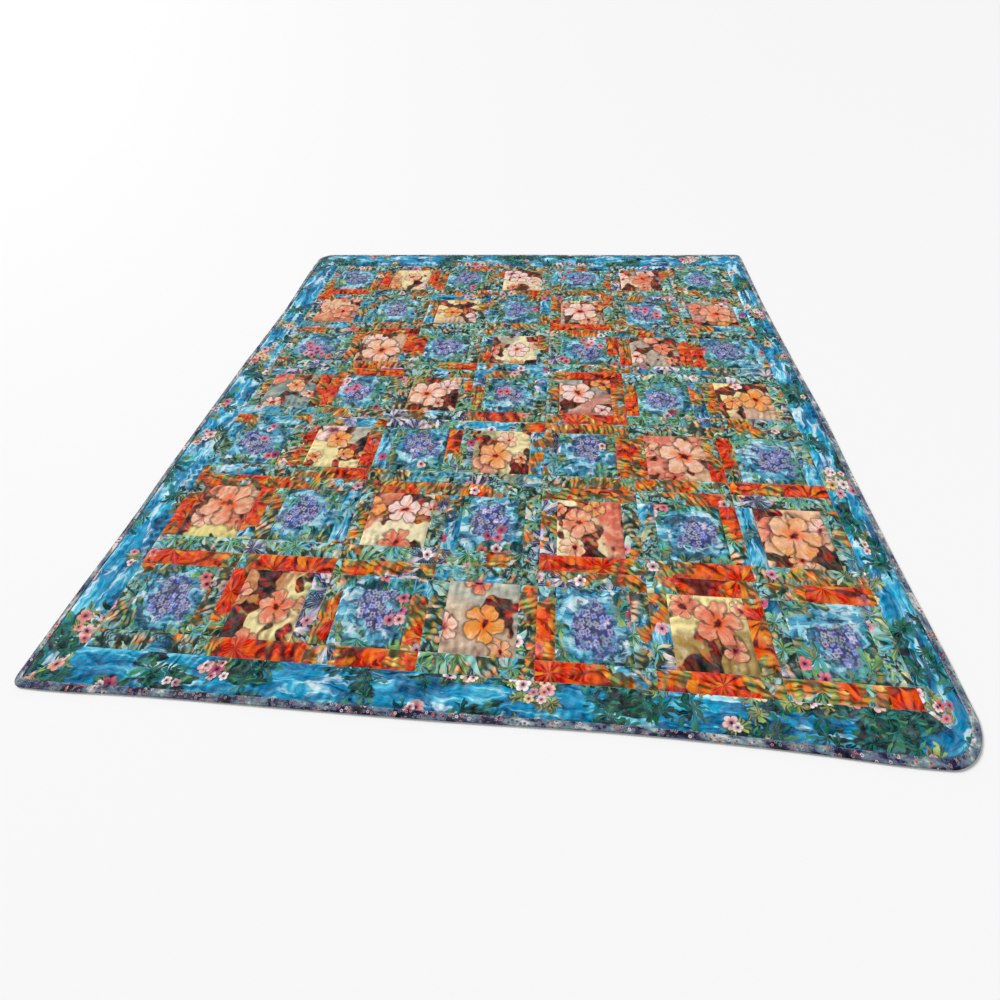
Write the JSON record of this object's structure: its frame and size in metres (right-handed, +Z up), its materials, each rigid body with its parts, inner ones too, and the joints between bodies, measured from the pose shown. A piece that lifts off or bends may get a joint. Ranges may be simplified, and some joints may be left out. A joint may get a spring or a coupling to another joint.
{
  "type": "patchwork quilt",
  "caption": "Padded patchwork quilt lying flat, face up: framed squares sewn in rows, a mitred border and a folded binding round rounded corners.",
  "frame": {"origin": "middle of the underside, on the surface that the quilt lies on", "axes": "+Z up out of the face, +X to the right and +Y to the back edge, seen from the front edge"},
  "size_m": [2.3922, 2.3864, 0.0115],
  "materials": {
    "patchwork": "printed cotton in many colours, matt",
    "border": "blue water print cotton, matt",
    "binding": "mauve small floral print cotton, matt"
  },
  "bodies": {
    "root": {"pieced_centre": "patchwork", "border_front": "border", "border_right": "border", "border_back": "border", "border_left": "border", "binding_front": "binding", "binding_right": "binding", "binding_back": "binding", "binding_left": "binding"}
  },
  "joints": []
}
